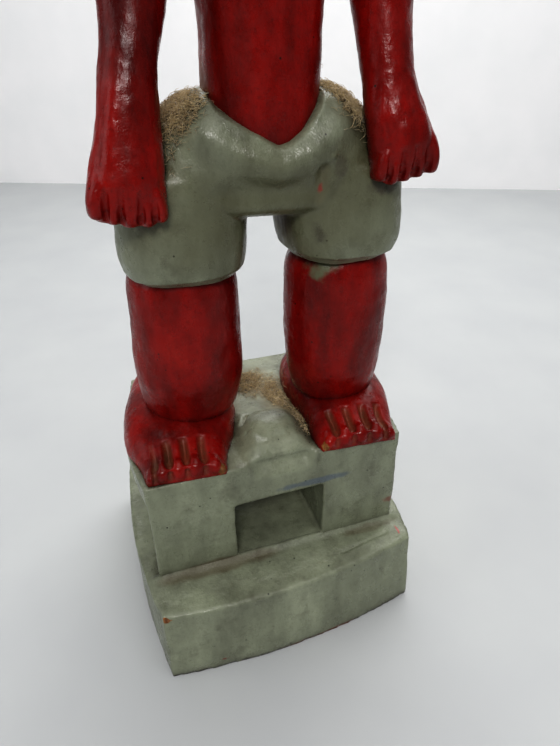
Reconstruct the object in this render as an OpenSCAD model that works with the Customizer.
// Painted carved figure in short trousers, standing on a two-step pedestal.
// The origin is the middle of the plinth's underside, +Z is up and the figure faces -Y.
// The figure's own right hand is on the -X side. All sizes are in millimetres.

/* [Plinth] */
// Height of the plinth, the wide lower step
plinth_h = 30.5; // [15:0.5:60]
// How far the plinth's corners stand out past the pedestal's sides
ledge_side = 1.5; // [0:0.5:15]
// Width of the ledge in front of the pedestal, at the corners
ledge_front = 17.4; // [8:0.1:40]
// Width of the ledge behind the pedestal, at the corners
ledge_back = 12.6; // [8:0.1:40]
// How far the plinth's sides swell past its corners
plinth_side_bow = 5; // [1:0.5:12]
// How far its front and back swell past its corners
plinth_front_bow = 5; // [1:0.5:12]
// Angle by which the front and back cuts run off square
plinth_skew = 2.8; // [0:0.1:6]

/* [Pedestal] */
// Height of the pedestal block above the plinth
pedestal_h = 45; // [36:1:80]
// How far the outsides of the feet stand past the block's corners
foot_overhang = 3.25; // [0:0.25:6]
// How far the block runs on behind the heels
heel_ledge = 8; // [2:0.5:20]
// How far the top slab's sides swell past the corners
slab_bow = 3.6; // [1:0.1:8]
// Thickness of the top slab that overhangs the hollow sides
slab_t = 7; // [3:0.5:12]
// Depth of the hollow scooped out of each side under the slab
scoop_depth = 5; // [1:0.5:10]
// Width of the window cut through from front to back
window_w = 35; // [15:1:60]
// Height of the window
window_h = 26; // [12:1:28]
// Height of the window's floor above the plinth
window_sill = 2; // [1:0.5:8]
// Height of the low mound left between the feet
mound_h = 3; // [1:0.5:6]

/* [Stance] */
// Sideways place of the figure on the pedestal
figure_x = 3; // [-6:0.5:6]
// Angle by which the figure is turned towards its own right
figure_turn = 4; // [0:0.5:10]

/* [Feet] */
// Length of a foot from toes to heel
foot_l = 64; // [50:1:80]
// How far the toes reach in front of the leg's axis
toe_reach = 28.5; // [24:0.5:40]
// Width of a foot at its widest, beside the ankle
foot_w = 41; // [36:1:48]
// How far a foot's middle lies outside the ankle's
foot_out = 3.5; // [0:0.5:6]
// Thickness of the toes
toe_h = 5.5; // [4:0.5:10]
// Height of the foot where the leg starts
ankle_h = 13; // [9:0.5:20]
// Depth of the grooves that part the toes
toe_groove = 1.8; // [0.5:0.1:3]

/* [Legs] */
// Height from the ankle to the hem of the trousers
leg_h = 52; // [36:1:80]
// Width of the leg at the ankle
ankle_w = 32; // [24:1:36]
// Depth of the leg at the ankle
ankle_d = 31; // [24:1:36]
// Width of the leg at its thickest
calf_w = 35.5; // [28:0.5:40]
// Depth of the leg at its thickest
calf_d = 33; // [26:0.5:38]
// How far the ankle lies outside the middle of the calf
ankle_out = 1; // [0:0.5:3]

/* [Trousers] */
// Height of each trouser leg from hem to crotch
trouser_leg_h = 21; // [12:0.5:32]
// Width of each trouser leg
trouser_leg_w = 40; // [38:0.5:46]
// Depth of each trouser leg
trouser_leg_d = 40; // [36:0.5:46]
// How far a trouser leg stands proud of the outside of the leg
hem_margin = 0.5; // [0:0.5:3]
// Gap between the two trouser legs
crotch_gap = 9; // [5:0.5:12]
// Height of the seat from the crotch to the hip ledge
seat_h = 28; // [22:0.5:40]
// Width across the hips just under the ledge
hip_w = 62; // [50:1:74]
// Depth of the V that the waist makes at the front
waist_v_h = 7.5; // [4:0.5:14]
// Width of that V at the ledge
waist_v_w = 30; // [16:1:32]

/* [Body] */
// Width of the torso at the waist
torso_w = 33; // [28:0.5:40]
// Depth of the torso
torso_d = 32; // [24:0.5:36]
// Height of the bare torso up to the armpits
torso_h = 26; // [18:0.5:40]
// Height of the chest from the armpits to the shoulders
chest_h = 44; // [34:0.5:60]
// Width of the chest between the arms
chest_w = 50; // [44:0.5:60]

/* [Arms] */
// Width of the upper arm
upper_arm_w = 22; // [18:0.5:26]
// How deep the upper arm's inner side is sunk into the chest
arm_sink = 2; // [1:0.5:5]
// Width of the forearm
forearm_w = 15.5; // [12:0.5:18]
// How far the wrist's middle lies inside the outside of the thigh
wrist_in = 7.5; // [4:0.5:12]
// Height of the wrist above the seat's ledge
wrist_rise = 1; // [-4:0.5:6]
// Length of a hand from wrist to fingertips
hand_l = 25.5; // [20:0.5:32]
// Width of a hand across the knuckles
hand_w = 22; // [16:0.5:26]
// Thickness of a hand
hand_t = 15; // [10:0.5:18]

/* [Head] */
// Height of the neck between shoulders and jaw
neck_h = 8; // [4:0.5:16]
// Width of the neck
neck_w = 25; // [18:0.5:30]
// Height of the head from jaw to crown
head_h = 68; // [54:1:84]
// Width of the head
head_w = 50; // [40:1:60]
// Depth of the head from forehead to nape
head_d = 56; // [46:1:66]
// Thickness of the cap of hair
hair_t = 2.5; // [1:0.5:4]
// Width of the nose across its wings
nose_w = 10; // [7:0.5:13]
// Width of an eye between its corners
eye_w = 9.5; // [7:0.5:11]
// Width of the mouth
mouth_w = 17; // [12:0.5:22]
// Height of an ear
ear_h = 16; // [12:0.5:22]

/* [Hidden] */

skin_red = "#9e2522";
cloth_green = "#6f7563";
hair_black = "#2a2422";

// Heights of the joints between the carved forms
pedestal_z = plinth_h;
foot_z = pedestal_z + pedestal_h;
ankle_z = foot_z + ankle_h;
hem_z = ankle_z + leg_h;
crotch_z = hem_z + trouser_leg_h;
ledge_z = crotch_z + seat_h;
armpit_z = ledge_z + torso_h;
shoulder_z = armpit_z + chest_h;
jaw_z = shoulder_z + neck_h;

// Places and sizes that more than one form shares
leg_x = crotch_gap / 2 + trouser_leg_w - hem_margin - calf_w / 2;
ankle_x = leg_x + ankle_out;
foot_x = ankle_x + foot_out;
thigh_x = crotch_gap / 2 + trouser_leg_w;
arm_x = chest_w / 2 + upper_arm_w / 2 - arm_sink;
torso_y = -3;
neck_y = 0;
ankle_y = 2;
thigh_front = -trouser_leg_d / 2;
wrist_x = thigh_x - wrist_in;
wrist_y = thigh_front + 4;
wrist_z = ledge_z + wrist_rise;

// The pedestal is as wide as the stance and as deep as the feet, and the plinth is as big as the pedestal
pedestal_w = 2 * (foot_x + foot_w / 2 - foot_overhang);
pedestal_d = foot_l + heel_ledge;
pedestal_y = (ledge_front - ledge_back) / 2;
plinth_w = pedestal_w + 2 * ledge_side;
plinth_d = ledge_front + pedestal_d + ledge_back;
figure_y = pedestal_y - pedestal_d / 2 + toe_reach;

// Squareness of a form's outline, from round to nearly square
round_form = 2.2;
soft_form = 2.6;
square_form = 3.2;

// How much a form swells past a joint, and how far the shoulders' top spreads past the neck
swell = 1;
collar = 3;

// Toes and fingers
toe_n = 5;
toe_corner = 4;
toe_pitch = (foot_w - 2 * toe_corner) / toe_n;
finger_n = 5;
finger_l = 10;
finger_groove = 0.8;
fingertip_r = 2;
knuckle_x = 1;
palm_x = wrist_x + 2.5;

// Heights on the head, on the rule that the eyes are halfway up and the nose a third
eye_z = jaw_z + head_h / 2;
nose_z = jaw_z + head_h / 3;
mouth_z = jaw_z + head_h / 5;
hairline_z = jaw_z + head_h * 0.64;
hair_slope = 25;
lip_r = 2.4;
bridge_r = 2.5;
ear_r = 4.5;
lobe_r = 3;

// How far in front of the middle the wedge of bare belly starts
waist_depth = 8;

// Points round a loft's ring and along an arc, and how far a cut runs past what it cuts
ring_n = 28;
arc_n = 12;
cut = 1;

// Signed power, which squares off a circle's corners
function soft(v, k) = sign(v) * pow(abs(v), k);

// One level ring: [height, middle x, middle y, half width, half depth, squareness 2 = round]
function ring(s) = [for (i = [0:ring_n - 1]) let (a = 360 * i / ring_n)
    [s[1] + s[3] * soft(cos(a), 2 / s[5]), s[2] + s[4] * soft(sin(a), 2 / s[5]), s[0]]];

// A smooth curve through four stations, at t between the middle two
function through(a, b, c, d, t) = b + 0.5 * t * (c - a + t * (2 * a - 5 * b + 4 * c - d
    + t * (3 * (b - c) + d - a)));

// Stations with extra ones placed on a smooth curve between them
function fill_in(s, steps = 3) = let (last = len(s) - 1) [for (i = [0:last - 1]) for (k = [0:steps - 1])
    through(s[max(i - 1, 0)], s[i], s[i + 1], s[min(i + 2, last)], k / steps), s[last]];

// A closed solid through level rings that rise from the first to the last
module loft(stations, steps = 3) {
    rings = [for (s = fill_in(stations, steps)) ring(s)];
    last = len(rings) - 1;
    walls = [for (k = [0:last - 1]) for (i = [0:ring_n - 1])
        let (a = k * ring_n + i, b = k * ring_n + (i + 1) % ring_n) [a, a + ring_n, b + ring_n, b]];
    halves = [for (w = walls) each [[w[0], w[1], w[2]], [w[0], w[2], w[3]]]];
    floor_face = [for (i = [0:ring_n - 1]) i];
    roof_face = [for (i = [ring_n - 1:-1:0]) last * ring_n + i];
    polyhedron([for (r = rings) each r], concat(halves, [floor_face, roof_face]));
}

// Points of a shallow arc from p to q that swells by bow to the right of the way from p to q
function arc(p, q, bow) = let (chord = norm(q - p), r = (chord * chord / 4 + bow * bow) / (2 * bow),
    half = asin(chord / 2 / r), along = (q - p) / chord, out = [along[1], -along[0]],
    mid = (p + q) / 2 - out * (r - bow))
    [for (i = [0:arc_n - 1]) let (a = half * (2 * i / arc_n - 1)) mid + r * (sin(a) * along + cos(a) * out)];

// The four corners of a block, anticlockwise from the front left
function corners(w, d) = [[-w, -d], [w, -d], [w, d], [-w, d]] / 2;

// Puts its children in the figure's own frame, facing -Y
module figure() {
    translate([figure_x, figure_y, 0]) rotate([0, 0, -figure_turn]) children();
}

// Puts a left-hand piece on its side of the figure: side 1 is the left, -1 the right
module on_side(side) {
    figure() {
        if (side > 0) children();
        else mirror([1, 0, 0]) children();
    }
}

module plinth() {
    c = corners(plinth_w, plinth_d);
    lean = tan(plinth_skew);
    edge = concat(arc(c[0], c[1], plinth_front_bow), arc(c[1], c[2], plinth_side_bow),
        arc(c[2], c[3], plinth_front_bow), arc(c[3], c[0], plinth_side_bow));
    color(cloth_green) linear_extrude(plinth_h) polygon([for (p = edge) [p[0], p[1] + lean * p[0]]]);
}

module pedestal() {
    c = corners(pedestal_w, pedestal_d);
    slab = concat([c[0]], arc(c[1], c[2], slab_bow), [c[2]], arc(c[3], c[0], slab_bow));
    hollow = concat([c[0]], arc(c[1], c[2], -scoop_depth), [c[2]], arc(c[3], c[0], -scoop_depth));
    mound_r = foot_x - foot_w / 2;
    mound_ball = (mound_r * mound_r + mound_h * mound_h) / (2 * mound_h);
    color(cloth_green) translate([0, pedestal_y, pedestal_z]) {
        difference() {
            union() {
                linear_extrude(pedestal_h) polygon(hollow);
                translate([0, 0, pedestal_h - slab_t]) linear_extrude(slab_t) polygon(slab);
            }
            translate([-window_w / 2, -pedestal_d, window_sill]) cube([window_w, 2 * pedestal_d, window_h]);
        }
        intersection() {
            translate([figure_x, -pedestal_d / 4, pedestal_h + mound_h - mound_ball])
                sphere(mound_ball, $fn = 96);
            translate([-pedestal_w / 2, -pedestal_d / 2, pedestal_h - slab_t / 2])
                cube([pedestal_w, pedestal_d, slab_t]);
        }
    }
}

// The left foot, with grooves that part its five toes
module foot(side) {
    heel_y = foot_l - toe_reach;
    mid_y = (heel_y - toe_reach) / 2;
    groove_side = 2 * toe_groove / sqrt(2);
    color(skin_red) on_side(side) difference() {
        loft([[foot_z, foot_x, mid_y, foot_w / 2 - swell, foot_l / 2, square_form],
            [foot_z + toe_h, foot_x, mid_y, foot_w / 2, foot_l / 2, square_form],
            [ankle_z, ankle_x, ankle_y, ankle_w / 2 + swell, ankle_d / 2 + swell, round_form]]);
        for (k = [1:toe_n - 1])
            translate([foot_x + (k - toe_n / 2) * toe_pitch, -toe_reach - toe_groove, foot_z - cut])
                rotate([0, 0, 45]) cube([groove_side, groove_side, toe_h + 2 * cut]);
    }
}

module leg(side) {
    color(skin_red) on_side(side)
        loft([[ankle_z, ankle_x, ankle_y, ankle_w / 2, ankle_d / 2, round_form],
            [ankle_z + leg_h / 2, leg_x, 0, calf_w / 2, calf_d / 2, round_form],
            [hem_z, leg_x, 0, calf_w / 2, calf_d / 2, round_form]]);
}

module trouser_leg_form() {
    loft([[hem_z, (crotch_gap + trouser_leg_w) / 2, 0, trouser_leg_w / 2, trouser_leg_d / 2, soft_form],
        [crotch_z, (crotch_gap + trouser_leg_w) / 2, 0, trouser_leg_w / 2, trouser_leg_d / 2, soft_form]]);
}

module trouser_leg(side) {
    color(cloth_green) on_side(side) trouser_leg_form();
}

// The wedge of bare belly that dips into the front of the waistband
module waist_wedge() {
    translate([0, -waist_depth, 0]) rotate([90, 0, 0]) linear_extrude(trouser_leg_d)
        polygon([[-waist_v_w / 2, ledge_z], [0, ledge_z - waist_v_h], [waist_v_w / 2, ledge_z]]);
}

module seat_form() {
    belly_w = (thigh_x + hip_w / 2) / 2;
    loft([[crotch_z, 0, 0, thigh_x, trouser_leg_d / 2, square_form],
        [crotch_z + seat_h * 0.45, 0, 0, thigh_x - swell, trouser_leg_d / 2 + swell, square_form],
        [crotch_z + seat_h * 0.8, 0, torso_y / 2, belly_w, trouser_leg_d / 2, square_form],
        [ledge_z, 0, torso_y, hip_w / 2, torso_d / 2, soft_form]]);
}

module seat() {
    color(cloth_green) figure() difference() {
        seat_form();
        waist_wedge();
    }
}

module torso() {
    color(skin_red) figure() {
        loft([[ledge_z, 0, torso_y, torso_w / 2, torso_d / 2, square_form],
            [armpit_z, 0, torso_y, torso_w / 2, torso_d / 2, square_form]]);
        intersection() {
            seat_form();
            waist_wedge();
        }
    }
}

module chest_form() {
    loft([[armpit_z, 0, torso_y, torso_w / 2, torso_d / 2, square_form],
        [armpit_z + chest_h * 0.3, 0, torso_y, chest_w / 2, torso_d / 2 + swell, square_form],
        [armpit_z + chest_h * 0.75, 0, torso_y, chest_w / 2, torso_d / 2, soft_form],
        [shoulder_z, 0, neck_y, neck_w / 2 + collar, torso_d / 2 - 2 * swell, round_form]]);
}

module chest() {
    color(skin_red) figure() chest_form();
}

// The left arm from wrist to shoulder, bent a little forwards
module arm(side) {
    arm_r = upper_arm_w / 2;
    elbow_r = (arm_r + forearm_w / 2) / 2;
    color(skin_red) on_side(side) difference() {
        loft([[wrist_z, wrist_x, wrist_y, forearm_w / 2, hand_t / 2, soft_form],
            [ledge_z + torso_h / 2, wrist_x - 2, wrist_y / 2 + torso_y, forearm_w / 2, forearm_w / 2,
                round_form],
            [armpit_z, arm_x - 1, torso_y - 2, elbow_r, elbow_r, round_form],
            [armpit_z + chest_h / 2, arm_x, torso_y, arm_r, arm_r, round_form],
            [shoulder_z - arm_r / 2, arm_x - 2, torso_y, elbow_r, elbow_r, round_form],
            [shoulder_z, arm_x - arm_r / 2, torso_y, arm_r / 3, arm_r / 3, round_form]]);
        chest_form();
    }
}

// The left hand, laid on the front of the thigh, with grooves that part its fingers
module hand(side) {
    palm_y = thigh_front;
    tip_z = wrist_z - hand_l;
    color(skin_red) on_side(side) difference() {
        loft([[tip_z, palm_x + knuckle_x, palm_y, hand_w / 2 - fingertip_r, hand_t / 2 - fingertip_r,
                square_form],
            [tip_z + fingertip_r, palm_x + knuckle_x, palm_y, hand_w / 2, hand_t / 2, square_form],
            [tip_z + hand_l * 0.4, palm_x, palm_y, hand_w / 2, hand_t / 2 + swell, soft_form],
            [wrist_z, wrist_x, wrist_y, forearm_w / 2, hand_t / 2, soft_form]]);
        seat_form();
        trouser_leg_form();
        for (k = [1:finger_n - 1])
            translate([palm_x + knuckle_x + (k / finger_n - 0.5) * hand_w,
                palm_y - hand_t / 2 - finger_groove, tip_z - cut])
                rotate([0, 0, 45]) cube([2 * finger_groove, 2 * finger_groove, finger_l]);
    }
}

module neck() {
    color(skin_red) figure() translate([0, neck_y, shoulder_z]) cylinder(h = neck_h, d = neck_w, $fn = 48);
}

// A rounded head shape, grown all round by extra and cut level at its base
module head_form(extra = 0) {
    w = head_w / 2 + extra;
    d = head_d / 2 + extra;
    loft([[jaw_z, 0, neck_y - 1, w * 0.52, d * 0.55, round_form],
        [jaw_z + head_h * 0.16, 0, neck_y - 3, w * 0.8, d * 0.86, round_form],
        [jaw_z + head_h * 0.5, 0, neck_y - 1, w, d, round_form],
        [jaw_z + head_h * 0.8, 0, neck_y, w * 0.86, d * 0.88, round_form],
        [jaw_z + head_h * 0.95 + extra, 0, neck_y, w * 0.5, d * 0.52, round_form],
        [jaw_z + head_h + extra, 0, neck_y, w * 0.2, d * 0.2, round_form]]);
}

// A plain face: a wedge nose, two lids and a mouth, raised a little from the head
module face() {
    front = neck_y - head_d / 2;
    nose_r = nose_w * 0.4;
    hull() {
        translate([0, front + bridge_r, eye_z + bridge_r]) sphere(bridge_r, $fn = 20);
        translate([0, front, nose_z + nose_r]) sphere(nose_r, $fn = 20);
    }
    for (side = [-1, 1])
        translate([side * eye_w, front + eye_w / 3, eye_z]) sphere(eye_w / 2, $fn = 24);
    hull() {
        for (side = [-1, 1])
            translate([side * (mouth_w / 2 - lip_r), front + lip_r / 2, mouth_z]) sphere(lip_r, $fn = 20);
    }
}

module head() {
    color(skin_red) figure() union() {
        head_form();
        face();
    }
}

module hair() {
    color(hair_black) figure() difference() {
        head_form(hair_t);
        head_form();
        translate([0, neck_y, hairline_z]) rotate([-hair_slope, 0, 0])
            translate([-head_w, -head_d, -head_h]) cube([2 * head_w, 2 * head_d, head_h]);
    }
}

module ear(side) {
    color(skin_red) on_side(side) difference() {
        hull() {
            translate([head_w / 2 - 0.5, neck_y + 1, nose_z + lobe_r / 2]) sphere(lobe_r, $fn = 24);
            translate([head_w / 2 + 0.5, neck_y + 3, nose_z + ear_h - ear_r]) sphere(ear_r, $fn = 24);
        }
        head_form();
    }
}

module right_foot() { foot(-1); }
module left_foot() { foot(1); }
module right_leg() { leg(-1); }
module left_leg() { leg(1); }
module right_trouser_leg() { trouser_leg(-1); }
module left_trouser_leg() { trouser_leg(1); }
module right_arm() { arm(-1); }
module left_arm() { arm(1); }
module right_hand() { hand(-1); }
module left_hand() { hand(1); }
module right_ear() { ear(-1); }
module left_ear() { ear(1); }

plinth();
pedestal();
right_foot();
left_foot();
right_leg();
left_leg();
right_trouser_leg();
left_trouser_leg();
seat();
torso();
chest();
right_arm();
left_arm();
right_hand();
left_hand();
neck();
head();
hair();
right_ear();
left_ear();
